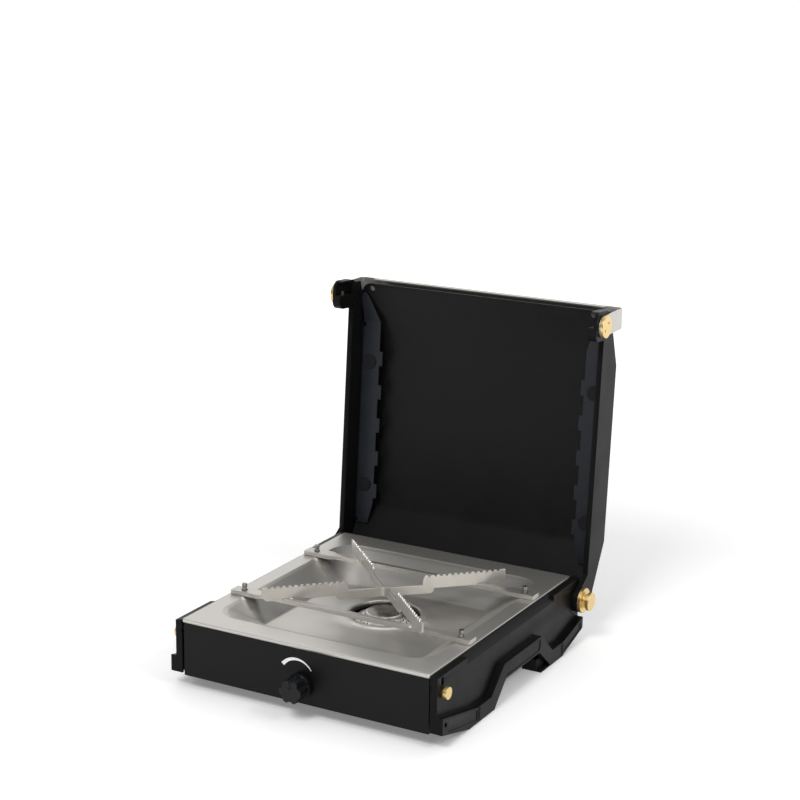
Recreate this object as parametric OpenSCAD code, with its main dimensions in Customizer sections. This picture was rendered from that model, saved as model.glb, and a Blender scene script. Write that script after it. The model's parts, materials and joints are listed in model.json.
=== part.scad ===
// Single-burner gas camping stove with a fold-up lid, a carry handle that
// swings on the lid's front corners, and a lift-off pot support.
// Millimetres, +Z up, +X right, +Y towards the lid hinge.

/* [Housing] */
// Width of the front panel, between the side covers
body_w = 250; // [235:1:310]
// Depth from the front panel to the rear wall
body_d = 282; // [260:1:340]
// Height of the tray rim above the ground
body_h = 66; // [62:1:80]
// Clear height under the housing
ground_gap = 12; // [9:0.5:14]
// Thickness of the coated steel sheet
sheet_t = 1.2; // [0.8:0.1:1.6]

/* [Side covers] */
// Distance from the front panel's edge to a cover's outer face
cover_w = 8; // [7:0.5:12]
// Wall thickness of the moulded covers
cover_wall = 2.5; // [2:0.1:3]
// Shadow gap between the front panel and a cover
cover_gap = 1.2; // [1:0.1:3]
// How far the wavy rail stands out of a cover
rail_out = 5.6; // [4:0.1:7]
// Length of the hand grip's arch, at its top
grip_len = 78; // [60:1:90]
// Height of the foot pads' contact area above the rail's lowest edge
foot_proud = 1.5; // [1:0.1:3]

/* [Lid] */
// Angle by which the open lid leans back from upright
lid_lean = 4; // [0:0.5:12]
// Drop of the hinge axis below the tray rim
hinge_drop = 21.5; // [18:0.5:24]
// Rise of the lid's flat back above its front and rear edges
lid_rise = 22; // [18:0.5:30]
// Length of each sloped band of the lid, along the lid
lid_band = 54; // [40:1:60]
// How far the side frames reach past the sheet's edges
frame_drop = 13.6; // [8:0.2:15]
// Thickness of the side frames
frame_t = 5.4; // [4:0.1:7]
// Width of the folded-in flanges
flange_w = 24; // [16:0.5:30]

/* [Carry handle] */
// Width of the handle's steel strip
handle_w = 20; // [14:0.5:24]
// Thickness of the handle's steel strip
handle_t = 1.5; // [1:0.1:2.5]
// Reach from the handle's pivots to its cross strip
handle_reach = 46.5; // [44:0.5:60]
// Radius of the handle pivots' heads
handle_head_r = 10.6; // [9:0.1:11]

/* [Burner and tray] */
// Outer radius of the burner
burner_r = 28; // [22:0.5:30]
// Depth of the tray's basin
basin_depth = 19; // [15:0.5:22]
// Thickness of the stainless tray sheet
tray_t = 0.8; // [0.6:0.1:1.2]
// Flame ports round the burner
port_count = 36; // [16:1:48]

/* [Pot support] */
// Distance between the two bars of the pot support
bar_spacing = 128; // [110:1:150]
// Width of each bar between its end tabs
bar_w = 6; // [5:0.5:9]
// Height of the bars
bar_h = 4.2; // [3.6:0.1:6]
// Width of the tabs at a bar's ends
tab_w = 12.5; // [11:0.5:16]
// Length of each support arm, from the middle to its tip
arm_len = 117; // [100:1:125]
// Height of the toothed blades
blade_h = 13.3; // [11:0.1:15]
// Thickness of the arms
arm_t = 1.8; // [1.2:0.1:2.5]
// Height of the locating studs above the tray rim
stud_h = 10.5; // [8.5:0.5:14]

/* [Knob] */
// Radius of the control knob
knob_r = 11; // [9:0.5:14]
// Depth of the control knob
knob_d = 17.5; // [14:0.5:24]

/* [Fits] */
// Radial clearance of a pin that turns in its bore
run_fit = 0.05; // [0.03:0.01:0.1]
// Radial clearance of the pot support on its studs
lift_fit = 0.4; // [0.2:0.05:0.6]
// Side clearance between the lid and the covers
side_fit = 0.6; // [0.4:0.1:1.2]

/* [Hidden] */
$fn = 48;
eps = 0.01;

// Places across the stove, from its middle outwards
panel_x = body_w / 2;
cover_x = panel_x + cover_w;
rail_x = cover_x + rail_out;
frame_x = cover_x + side_fit;
frame_out_x = frame_x + frame_t;
bracket_x = frame_out_x + 3;
arm_x = bracket_x + 0.4;
arm_out_x = arm_x + handle_t;

// Hinge of the lid and the lid's own sizes, along the lid (s) and behind it (n)
hinge_y = body_d - 0.5;
hinge_z = body_h - hinge_drop;
hinge_r = 4;
hinge_boss_r = 14.5;
hinge_lug_r = 12;
lid_front_gap = 5.5;
lid_len = hinge_y - lid_front_gap;
lid_gap = 3;
lid_edge_n = hinge_drop + lid_gap;
lid_back_n = lid_edge_n + lid_rise;
frame_edge_n = lid_edge_n - frame_drop;
stud_gap = 0.8;
flange_n = hinge_drop + stud_h + stud_gap;
lid_side_x = frame_x;

// Handle pivot, on the lid
pivot_s = lid_len - 10.4;
bracket_half = 14;
pivot_n = -1.7;
pivot_r = 3;
handle_tilt = 4;

// Front studs that the lid's brackets close over
lock_y = hinge_y - pivot_s - 5.9;
lock_z = hinge_z + 4.2;
lock_r = 5.5;
lock_pocket = 6.5;

// Pot support
burner_y = body_d / 2 + 4.5;
bar_y = [burner_y - 1 - bar_spacing / 2, burner_y - 1 + bar_spacing / 2];
bar_half = panel_x - 0.5;
bar_z = body_h + 0.2;
bar_top = bar_z + bar_h;
bar_sheet = 1.2;
stud_x = panel_x - 12;
stud_r = 2.5;
arm_top = body_h + 16.7;
strip_h = 8.9;
strip_low = bar_z - 1.4;
blade_low = arm_top - blade_h;
blade_from = 37;
strip_to = 48;
apex_back = 0.9;

// Tray: where the basin's mouth and its floor begin
basin_mouth_x = panel_x - 16;
basin_mouth_y = [24, body_d - 27];
basin_mouth_r = 24;
basin_floor_x = basin_mouth_x - 28.5;
basin_floor_y = [basin_mouth_y[0] + 38, basin_mouth_y[1] - 56];
basin_floor_r = 8;
basin_floor = body_h - basin_depth;
tray_fold = 3;
burner_hole_r = burner_r + 5;
collar_r = burner_hole_r + 6;
collar_h = 1.6;

// Gas line
valve_z = ground_gap + 18;
tube_r = 6.5;
tube_wall = 1.2;
spindle_r = 3;
inlet_x = -88;
inlet_r = 6.6;
inlet_len = 10;
nut_t = 4;
pipe_r = 3;
pipe_x = -34;

// Pads
pad_y = [body_d / 2 - 66, body_d / 2 + 80];
pad_len = 50;
pad_x = [panel_x - 7, rail_x - 0.6];

// The origin is under the middle of the open stove's box
handle_rear_y = hinge_y + pivot_n * cos(lid_lean) + pivot_s * sin(lid_lean)
    + handle_reach * cos(handle_tilt - lid_lean)
    + handle_w / 2 * abs(sin(handle_tilt - lid_lean));
knob_back_y = -3;
knob_front_y = knob_back_y - knob_d;
mid_y = (handle_rear_y + knob_front_y) / 2;

powder_black = "#1c1c1e";
moulded_black = "#202123";
stainless = "#c9c6bf";
brass = "#c89a3c";

module in_frame() { translate([0, -mid_y, 0]) children(); }
module both_sides() { children(); mirror([1, 0, 0]) children(); }
module on_side(side) { if (side < 0) mirror([1, 0, 0]) children(); else children(); }

// Extrudes an outline of (y, z) points from x0 to x1
module along_x(x0, x1) translate([x0, 0, 0]) rotate([90, 0, 90]) linear_extrude(x1 - x0) children();
// Extrudes an outline of (x, z) points from y0 to y1
module along_y(y0, y1) translate([0, y1, 0]) rotate([90, 0, 0]) linear_extrude(y1 - y0) children();
module rod_x(x0, x1, r, y = 0, z = 0) translate([x0, y, z]) rotate([0, 90, 0]) cylinder(h = x1 - x0, r = r);
module rod_y(y0, y1, r, x = 0, z = 0) translate([x, y1, z]) rotate([90, 0, 0]) cylinder(h = y1 - y0, r = r);
module rod_z(z0, z1, r, x = 0, y = 0) translate([x, y, z0]) cylinder(h = z1 - z0, r = r);
module box(x, y, z) translate([x[0], y[0], z[0]]) cube([x[1] - x[0], y[1] - y[0], z[1] - z[0]]);

// A rectangle from (x0, y0) to (x1, y1) with round corners
module round_rect(x, y, r) {
    square_x = [x[0] + r, x[1] - r];
    square_y = [y[0] + r, y[1] - r];
    translate([x[0], square_y[0]]) square([x[1] - x[0], square_y[1] - square_y[0]]);
    translate([square_x[0], y[0]]) square([square_x[1] - square_x[0], y[1] - y[0]]);
    for (cx = square_x, cy = square_y) translate([cx, cy]) circle(r = r);
}

// Lid space: x across, y behind the hinge axis (n), z along the lid (s)
module on_lid() translate([0, hinge_y, hinge_z]) rotate([-lid_lean, 0, 0]) children();
// Handle space: the pivot axis is x, and y runs along the handle's arms
module on_handle() on_lid() translate([0, pivot_n, pivot_s]) rotate([handle_tilt, 0, 0]) children();

// ---------------------------------------------------------------- housing

screw_y = [30, body_d - 34];
screw_z = [ground_gap + 8, body_h - 17];
screw_r = 1.5;
wall_hole_r = screw_r + 0.2;

module base_pan() {
    top = body_h - tray_t;
    lip = 9;
    color(powder_black) in_frame() difference() {
        union() {
            difference() {
                box([-panel_x, panel_x], [0, body_d], [ground_gap, top]);
                box([-panel_x + sheet_t, panel_x - sheet_t], [sheet_t, body_d - sheet_t],
                    [ground_gap + sheet_t, top + eps]);
            }
            for (y = [[sheet_t - eps, lip], [body_d - lip, body_d - sheet_t + eps]])
                box([-panel_x + 2, panel_x - 2], y, [top - sheet_t, top]);
        }
        // Way through for the valve's neck
        rod_y(-1, sheet_t + 1, 5.2, 0, valve_z);
        // Gas inlet hole in the rear wall
        rod_y(body_d - 3, body_d + 1, inlet_r + 0.2, inlet_x, valve_z);
        // Air slots in the bottom and in the rear wall
        for (i = [-3:3]) {
            box([i * 26 - 3, i * 26 + 3], [burner_y - 24, burner_y + 24], [ground_gap - 1, ground_gap + 2]);
            box([i * 16 + 32, i * 16 + 40], [body_d - 2, body_d + 1], [ground_gap + 14, ground_gap + 20]);
        }
        // Holes for the cover screws and the burner screws
        for (y = screw_y, z = screw_z) rod_x(-panel_x - 1, panel_x + 1, wall_hole_r, y, z);
        for (x = burner_screw_x) rod_z(ground_gap - 1, ground_gap + 2, wall_hole_r, x, burner_y);
    }
}

// Upper and lower edge of the wavy rail, as (y, z) points from front to rear
cover_y = [-1, body_d + 6];
arch_y = body_d / 2 + 14;
half = grip_len / 2;
slope_run = 25;
low_top = ground_gap + 3;
arch_top = 37.4;
rail_upper = [[cover_y[0], 29.5], [arch_y - half - 2 * slope_run, low_top], [arch_y - half - slope_run, low_top],
              [arch_y - half, arch_top], [arch_y + half, arch_top], [arch_y + half + slope_run, low_top],
              [arch_y + half + 2 * slope_run, low_top], [cover_y[1], 25.5]];
grip_z = 22;
rail_lower = [[cover_y[1], 14], [arch_y + half + 2 * slope_run, foot_proud],
              [arch_y + half + slope_run - 4, foot_proud], [arch_y + half - 4, grip_z], [arch_y - half + 4, grip_z],
              [arch_y - half - slope_run + 8, foot_proud], [pad_y[0] - pad_len / 2 - 4, foot_proud],
              [cover_y[0], 14]];

// Section (x, z) of a cover's top beam; the finger scoop lowers its outer edge
beam_low = body_h - 17;
module cover_beam(outer_z) {
    polygon([[panel_x + 1, body_h - 1], [panel_x + 2.2, body_h - 1], [cover_x, outer_z], [cover_x, beam_low],
             [cover_x - cover_wall, beam_low], [panel_x + 1, body_h - 9]]);
}

module side_cover() {
    scoop = [54, body_d - 52];
    full_z = body_h - 2;
    scoop_z = body_h - 7.5;
    low_z = ground_gap + 2;
    plate_top = beam_low + 2;
    difference() {
        union() {
            along_x(cover_x - cover_wall, cover_x)
                polygon([[cover_y[0], low_z], [cover_y[0], plate_top], [cover_y[1], plate_top], [cover_y[1], low_z],
                         [arch_y + half + 10, low_z], [arch_y + half - 4, grip_z], [arch_y - half + 4, grip_z],
                         [arch_y - half - 10, low_z]]);
            along_y(cover_y[0], scoop[0]) cover_beam(full_z);
            along_y(scoop[0] - eps, scoop[1] + eps) cover_beam(scoop_z);
            along_y(scoop[1], cover_y[1]) cover_beam(full_z);
            // Front and rear returns
            box([panel_x + cover_gap, cover_x], [cover_y[0], cover_y[0] + cover_wall], [low_z, beam_low + 5]);
            box([panel_x + 1, cover_x], [cover_y[1] - cover_wall, cover_y[1]], [low_z, beam_low + 5]);
            // Rail
            along_x(cover_x - eps, rail_x) polygon(concat(rail_upper, rail_lower));
            // Hinge boss and screw bosses
            rod_x(panel_x, cover_x + side_fit / 2, hinge_boss_r, hinge_y, hinge_z);
            for (y = screw_y, z = screw_z) rod_x(panel_x, cover_x - 1, 4, y, z);
        }
        rod_x(panel_x - 5, cover_x + 5, hinge_r + run_fit, hinge_y, hinge_z);
        for (y = screw_y, z = screw_z) rod_x(panel_x - 1, cover_x - 2, screw_r + run_fit, y, z);
        // Seat of the lock stud and the slot above it
        rod_x(panel_x - 1, cover_x + 5, lock_shank_r + run_fit, lock_y, lock_z);
        along_x(cover_x - 5, cover_x + 5) {
            translate([lock_y - 1.5, lock_z + 8.5]) circle(r = keyhole_r);
            translate([lock_y - 1.5, lock_z + 11.5]) circle(r = keyhole_r);
            translate([lock_y - 1.5 - keyhole_r, lock_z + 8.5]) square([2 * keyhole_r, 3]);
        }
        // Lightening pockets behind the rail
        for (y = [[arch_y - half + 6, arch_y + half - 6]])
            box([cover_x - 4, rail_x - cover_wall], y, [grip_z + 2.5, arch_top - 2.5]);
        for (y = [[arch_y - half - 46, arch_y - half - 22], [arch_y + half + 20, arch_y + half + 46]])
            box([cover_x - 4, rail_x - cover_wall], y, [foot_proud + 2.5, low_top - 2.5]);
        // Eyelet at the rail's front end
        rod_x(cover_x - 5, rail_x + 1, 2, cover_y[0] + 6, 22);
        // Shallow panels sunk into the rail's face
        along_x(rail_x - panel_sink, rail_x + 1) {
            rail_panel(cover_y[0] + 12, rib_y[0] - 4);
            polygon([[arch_y - half + 5, grip_z + 2.5], [arch_y + half - 6, grip_z + 2.5],
                     [arch_y + half - 3, grip_z + 6], [arch_y + half - 3, arch_top - 2.5],
                     [arch_y - half + 2, arch_top - 2.5]]);
            rail_panel(rib_y[1] + 4, cover_y[1] - 6);
        }
    }
    // Upright ribs on the rail's face
    for (y = rib_y) along_x(rail_x - 1, rail_x + 0.5) rail_panel(y - 0.8, y + 0.8, 1);
}

keyhole_r = 2.2;
rib_y = [arch_y - half - 2 * slope_run + 2, arch_y + half + 2 * slope_run - 3];
panel_sink = 0.6;

// Part of the rail's face between two places, kept a margin inside its edges
module rail_panel(y0, y1, margin = 2.4) {
    low = backward(rail_lower);
    polygon([[y0, lookup(y0, low) + margin], [y1, lookup(y1, low) + margin],
             [y1, lookup(y1, rail_upper) - margin], [y0, lookup(y0, rail_upper) - margin]]);
}

module left_side_cover() color(moulded_black) in_frame() on_side(-1) side_cover();
module right_side_cover() color(moulded_black) in_frame() on_side(1) side_cover();

module foot_pads() {
    color("#18181a") in_frame() both_sides() for (y = pad_y)
        along_y(y - pad_len / 2, y + pad_len / 2)
            polygon([[pad_x[0], 0], [pad_x[1], 0], [pad_x[1], foot_proud], [cover_x - 0.2, foot_proud],
                     [cover_x - 0.2, ground_gap], [pad_x[0], ground_gap]]);
}

module cover_screws() {
    color("#8a8a8c") in_frame() both_sides() for (y = screw_y, z = screw_z) {
        rod_x(panel_x - sheet_t - 1.8, panel_x - sheet_t, 3, y, z);
        rod_x(panel_x - sheet_t - eps, cover_x - 3, screw_r, y, z);
    }
}

// ---------------------------------------------------------------- tray and burner

// Basin between two heights, grown all round by a wall's thickness
module basin_block(z0, z1, grow) {
    wide = [-basin_mouth_x - grow, basin_mouth_x + grow];
    narrow = [-basin_floor_x - grow, basin_floor_x + grow];
    hull() {
        translate([0, 0, z1]) linear_extrude(eps)
            round_rect(wide, [basin_mouth_y[0] - grow, basin_mouth_y[1] + grow], basin_mouth_r, $fn = 16);
        translate([0, 0, z0]) linear_extrude(eps)
            round_rect(narrow, [basin_floor_y[0] - grow, basin_floor_y[1] + grow], basin_floor_r, $fn = 16);
    }
}

module drip_tray() {
    half_w = panel_x + 0.8;
    color(stainless) in_frame() difference() {
        union() {
            box([-half_w, half_w], [-1, body_d + 1], [body_h - tray_t, body_h]);
            // Front and rear edges are folded down outside the pan
            for (y = [-1, body_d + 1 - tray_t])
                box([-half_w, half_w], [y, y + tray_t], [body_h - tray_fold, body_h]);
            basin_block(basin_floor - tray_t, body_h - tray_t, tray_t);
            // Raised collar round the burner
            rod_z(basin_floor - tray_t, basin_floor + collar_h, collar_r, 0, burner_y);
        }
        difference() {
            basin_block(basin_floor, body_h + eps, 0);
            rod_z(basin_floor - 2, basin_floor + collar_h, collar_r, 0, burner_y);
        }
        rod_z(basin_floor - 5, basin_floor + 5, burner_hole_r, 0, burner_y);
        // Hollow under the collar
        rod_z(basin_floor - 2, basin_floor + collar_h - tray_t, collar_r - tray_t, 0, burner_y);
        for (x = [-stud_x, stud_x], y = bar_y) rod_z(body_h - 3, body_h + 1, stud_r + run_fit, x, y);
    }
}

module tray_studs() {
    groove_z = body_h + bar_h + 1.6;
    color("#a8a6a0") in_frame() for (x = [-stud_x, stud_x], y = bar_y) translate([x, y, 0]) difference() {
        union() {
            rod_z(body_h - 6, body_h + stud_h, stud_r);
            rod_z(body_h - tray_t - 2.2, body_h - tray_t, stud_r + 0.6);
        }
        difference() {
            rod_z(groove_z, groove_z + 1.2, 6);
            rod_z(groove_z - 1, groove_z + 3, 1.7);
        }
    }
}

burner_low = ground_gap + 10;
burner_seat = basin_floor - 5;
burner_screw_x = [-38, 38];

module burner_body() {
    wall = 2;
    outer = burner_r - 1.5;
    color("#8f8d88") in_frame() translate([0, burner_y, 0]) difference() {
        union() {
            rod_z(burner_low, burner_seat, outer);
            rod_z(burner_low - 3, burner_low + eps, outer - 8);
        }
        rod_z(burner_low + wall, burner_seat + 1, outer - wall);
        // Socket of the mixing tube
        rod_y(-outer - 2, -outer + 8, tube_r, 0, valve_z);
    }
}

// Conical rim with a row of flame ports
module burner_port_ring() {
    low = burner_seat;
    slope = atan(0.5);
    color("#b9b5ab") in_frame() translate([0, burner_y, 0]) difference() {
        rotate_extrude() polygon([[burner_r - 3.5, low], [burner_r, low], [burner_r, low + 2],
                                  [burner_r - 8, low + 6], [burner_r - 11, low + 6], [burner_r - 11, low + 4.6],
                                  [burner_r - 8.4, low + 4.6], [burner_r - 1.6, low + 1.2],
                                  [burner_r - 3.5, low + 1.2]]);
        for (i = [0:port_count - 1]) rotate([0, 0, i * 360 / port_count])
            translate([burner_r - 4, 0, low + 4]) rotate([0, slope, 0])
                translate([0, 0, -2.6]) cylinder(h = 4, r = 0.9, $fn = 13);
    }
}

module burner_cap() {
    low = burner_seat + 6;
    plug_r = burner_r - 11.2;
    color("#cfccc4") in_frame() translate([0, burner_y, 0]) rotate_extrude()
        polygon([[0, low - 1.5], [plug_r, low - 1.5], [plug_r, low], [plug_r + 1.2, low], [plug_r + 1.2, low + 1.6],
                 [plug_r - 0.3, low + 2.5], [0, low + 1.9]]);
}

module burner_bracket() {
    foot = ground_gap + sheet_t;
    seat = burner_low - 3;
    leg_x = 30;
    strip = 1.5;
    half_d = 8;
    y = [burner_y - half_d, burner_y + half_d];
    color("#77777a") in_frame() difference() {
        union() {
            both_sides() {
                box([leg_x, leg_x + 14], y, [foot, foot + strip]);
                box([leg_x, leg_x + strip], y, [foot, seat]);
            }
            box([-leg_x - strip, leg_x + strip], y, [seat - strip, seat]);
        }
        for (x = burner_screw_x) rod_z(foot - 1, foot + 3, wall_hole_r, x, burner_y);
    }
}

module burner_screws() {
    foot = ground_gap + sheet_t + 1.5;
    color("#8a8a8c") in_frame() for (x = burner_screw_x) {
        rod_z(foot, foot + 1.8, 3, x, burner_y);
        rod_z(ground_gap - 1.5, foot + eps, screw_r, x, burner_y);
    }
}

jet_y = 38;

module mixing_tube() {
    air = [jet_y + 4, jet_y + 16];
    color("#9c9a95") in_frame() difference() {
        rod_y(jet_y - 9, burner_y - burner_r + 6, tube_r - run_fit, 0, valve_z);
        rod_y(jet_y - 10, burner_y - burner_r + 7, tube_r - tube_wall, 0, valve_z);
        box([-tube_r - 1, tube_r + 1], air, [valve_z - 3, valve_z + 3]);
    }
}

valve_front = 12;

module valve_body() {
    color(brass) in_frame() difference() {
        union() {
            rod_y(sheet_t, valve_front + 1, 7, 0, valve_z);
            rod_y(-2.4, sheet_t + 2, 5, 0, valve_z);
            box([-9, 9], [valve_front, 28], [valve_z - 8, valve_z + 8]);
            rod_y(27, 32, tube_r - tube_wall - run_fit, 0, valve_z);
            rod_x(-16, -8, 5, 21, valve_z);
        }
        rod_y(-4, 22, spindle_r + run_fit, 0, valve_z);
        rod_y(21, 29, 1.5, 0, valve_z);
        rod_y(28, 33, 3, 0, valve_z);
        rod_x(-17, -6, pipe_r, 21, valve_z);
    }
}

module valve_nut() {
    color("#b8b4a8") in_frame() difference() {
        translate([0, 0, valve_z]) rotate([90, 0, 0]) cylinder(h = 2.4, r = 7.4, $fn = 6);
        rod_y(-4, 2, 5 + run_fit, 0, valve_z);
    }
}

module gas_jet() {
    color(brass) in_frame() difference() {
        union() {
            rod_y(28, 33, 2.95, 0, valve_z);
            translate([0, jet_y - 1, valve_z]) rotate([90, 0, 0]) cylinder(h = 5, r = 4.2, $fn = 6);
            rod_y(jet_y - 1 - eps, jet_y + 2, 2.4, 0, valve_z);
        }
        rod_y(20, jet_y + 3, 0.6, 0, valve_z);
    }
}

// The supply pipe leaves the valve sideways, bends back and runs to the rear wall
module gas_pipe() {
    bend = 13;
    start_x = -9;
    corner_x = pipe_x;
    second_y = body_d - 50;
    color("#b87f4a") in_frame() translate([0, 0, valve_z]) {
        rod_x(corner_x + bend, start_x, pipe_r - run_fit, 21, 0);
        translate([corner_x + bend, 21 + bend, 0]) rotate([0, 0, 180])
            rotate_extrude(angle = 90) translate([bend, 0]) circle(r = pipe_r - run_fit);
        rod_y(21 + bend, second_y, pipe_r - run_fit, corner_x, 0);
        translate([corner_x - bend, second_y, 0])
            rotate_extrude(angle = 90) translate([bend, 0]) circle(r = pipe_r - run_fit);
        rod_x(inlet_x + bend, corner_x - bend, pipe_r - run_fit, second_y + bend, 0);
        translate([inlet_x + bend, second_y + 2 * bend, 0]) rotate([0, 0, 180])
            rotate_extrude(angle = 90) translate([bend, 0]) circle(r = pipe_r - run_fit);
        rod_y(second_y + 2 * bend, body_d - 12, pipe_r - run_fit, inlet_x, 0);
    }
}

module gas_inlet() {
    color(brass) in_frame() difference() {
        union() {
            rod_y(body_d - 16, body_d + nut_t, inlet_r, inlet_x, valve_z);
            rod_y(body_d - sheet_t - 5, body_d - sheet_t, 9, inlet_x, valve_z);
            // Relief between the nut and the hose's thread
            rod_y(body_d + nut_t - eps, body_d + nut_t + 1.1, inlet_r - 0.9, inlet_x, valve_z);
            rod_y(body_d + nut_t + 1, body_d + nut_t + 1 + inlet_len, inlet_r, inlet_x, valve_z);
        }
        rod_y(body_d - 17, body_d - 12, pipe_r, inlet_x, valve_z);
        rod_y(body_d - 13, body_d + 16, 2.2, inlet_x, valve_z);
        rod_y(body_d + 10, body_d + 16, 4, inlet_x, valve_z);
    }
}

module inlet_nut() {
    color("#b8b4a8") in_frame() difference() {
        translate([inlet_x, body_d + nut_t, valve_z]) rotate([90, 0, 0]) cylinder(h = nut_t, r = 10, $fn = 6);
        rod_y(body_d - 1, body_d + 5, inlet_r + run_fit, inlet_x, valve_z);
    }
}

// Flame-size mark round the knob: a stripe that thins from left to right
module dial_mark() {
    steps = 20;
    from = 143;
    to = 33;
    mean_r = 17.7;
    wide = 3.6;
    middle = [-5.5, valve_z + 4.7];
    edge = [for (i = [0:steps]) i / steps];
    color("white") in_frame() along_y(-0.2, 0) translate(middle) polygon(concat(
        [for (t = edge) (mean_r + wide / 2 * (1 - 0.85 * t))
            * [cos(from + (to - from) * t), sin(from + (to - from) * t)]],
        [for (i = [0:steps]) let (t = 1 - i / steps) (mean_r - wide / 2 * (1 - 0.85 * t))
            * [cos(from + (to - from) * t), sin(from + (to - from) * t)]]));
}

// ---------------------------------------------------------------- studs and hinge pins

lock_shank_r = 2.5;

module lock_stud() {
    rod_x(panel_x, cover_x + eps, lock_shank_r, lock_y, lock_z);
    rod_x(cover_x, cover_x + 2, 3.4, lock_y, lock_z);
    rod_x(cover_x + 2 - eps, rail_x, lock_r, lock_y, lock_z);
}

module hinge_pin() {
    collar = frame_out_x + 0.3;
    rod_x(panel_x, collar + eps, hinge_r, hinge_y, hinge_z);
    rod_x(collar, collar + 3.4, hinge_lug_r, hinge_y, hinge_z);
    rod_x(collar + 3.4 - eps, collar + 7, 6.5, hinge_y, hinge_z);
    rod_x(collar + 7 - eps, collar + 10.2, 9, hinge_y, hinge_z);
}

module left_lock_stud() color(brass) in_frame() on_side(-1) lock_stud();
module right_lock_stud() color(brass) in_frame() on_side(1) lock_stud();
module left_hinge_pin() color(brass) in_frame() on_side(-1) hinge_pin();
module right_hinge_pin() color(brass) in_frame() on_side(1) hinge_pin();

// ---------------------------------------------------------------- knob

module control_knob() {
    back = knob_back_y;
    front = knob_front_y;
    lobes = 6;
    color(moulded_black) in_frame() difference() {
        union() {
            rod_y(back - 4, back, knob_r + 0.7, 0, valve_z);
            rod_y(front, back, knob_r, 0, valve_z);
        }
        for (i = [0:lobes - 1]) rotate_about_valve(30 + i * 360 / lobes)
            rod_y(front - 1, back - 5, 4.2, knob_r + 2.2, 0);
        rod_y(back - 12, back + 1, spindle_r + run_fit, 0, valve_z);
        rod_y(back - 2.6, back + 1, 9, 0, valve_z);
        // Pointer groove
        box([-0.8, 0.8], [front - 1, front + 0.8], [valve_z + 3, valve_z + knob_r + 1]);
    }
}

module rotate_about_valve(angle) translate([0, 0, valve_z]) rotate([0, angle, 0]) children();

module valve_spindle() {
    color("#a6a6a8") in_frame() rod_y(knob_back_y - 12, 20, spindle_r, 0, valve_z);
}

// ---------------------------------------------------------------- pot support

tab_from = bar_half - 28;

function flip(list, sx, sy) = [for (p = list) [p[0] * sx, p[1] * sy]];
function backward(list) = [for (i = [len(list) - 1:-1:0]) list[i]];

// Plan of a bar with wider tabs at its ends, narrowed all round by a margin
module bar_plan(y, margin) {
    corner = [[tab_from - 6, bar_w / 2 - margin], [tab_from + margin, tab_w / 2 - margin],
              [bar_half - margin, tab_w / 2 - margin]];
    translate([0, y]) polygon(concat(corner, backward(flip(corner, 1, -1)), flip(corner, -1, -1),
                                     backward(flip(corner, -1, 1))));
}

module support_bar(y) {
    color(stainless) in_frame() difference() {
        translate([0, 0, bar_z]) linear_extrude(bar_h) bar_plan(y, 0);
        translate([0, 0, bar_z - 1]) linear_extrude(bar_h - bar_sheet + 1) bar_plan(y, bar_sheet);
        for (x = [-stud_x, stud_x]) rod_z(bar_z, bar_top + 1, stud_r + lift_fit, x, y);
    }
}

module front_bar() support_bar(bar_y[0]);
module rear_bar() support_bar(bar_y[1]);

tooth_pitch = 5.6;
tooth_count = 13;

// One arm in its own plane: along the arm from the middle, and up
module arm_outline() {
    round_r = 6;
    difference() {
        union() {
            translate([-arm_t, strip_low]) square([arm_t + strip_to - 4, strip_h]);
            translate([strip_to - 5, strip_low + 4]) square([5, strip_h - 4]);
            translate([strip_to - 4, strip_low + 4]) circle(r = 4);
            translate([blade_from + round_r, blade_low]) square([arm_len - blade_from - round_r, blade_h]);
            translate([blade_from, blade_low]) square([round_r + 1, blade_h - round_r]);
            translate([blade_from + round_r, arm_top - round_r]) circle(r = round_r);
        }
        for (i = [0:tooth_count - 1])
            translate([arm_len - 7 - i * tooth_pitch, arm_top])
                polygon([[-1.7, 0.1], [1.7, 0.1], [0.5, -1.8], [-0.5, -1.8]]);
        // Cut corner under the tip
        translate([arm_len - 4, blade_low - eps]) polygon([[0, 0], [4.1, 0], [4.1, 4]]);
    }
}

// A V of two arms; toward is -1 for the front pair and 1 for the rear pair
module arm_pair(toward) {
    lean = 45;
    notch = bar_w / cos(lean) + arm_t + 0.4;
    bar_at = (bar_spacing / 2 + toward * -1 - apex_back) / cos(lean);
    color(stainless) in_frame() difference() {
        translate([0, burner_y + toward * apex_back, 0]) for (side = [-1, 1])
            rotate([0, 0, 90 * toward - side * lean]) difference() {
                rotate([90, 0, 0]) translate([0, 0, -arm_t / 2]) linear_extrude(arm_t) arm_outline();
                // Notch over the bar
                translate([bar_at - notch / 2, -5, blade_low - 1])
                    cube([notch, 10, bar_top - blade_low + 1]);
            }
        // The two pairs meet back to back on the burner's centre line
        back_y = [burner_y - toward * 5, burner_y];
        box([-5, 5], [min(back_y), max(back_y)], [strip_low - 1, arm_top + 1]);
    }
}

module front_arms() arm_pair(-1);
module rear_arms() arm_pair(1);

// ---------------------------------------------------------------- lid

// Back of the lid across (n, s), from the hinge end to the front end
function lid_line(inset) = [[lid_edge_n - inset, 0], [lid_back_n - inset, lid_band - 6 + inset / 2],
                            [lid_back_n - inset, lid_len - lid_band - inset / 2], [lid_edge_n - inset, lid_len]];

module lid_section(x0, x1, outline) along_x(x0, x1) polygon(outline);

vent_x = panel_x - 4.5;

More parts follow.
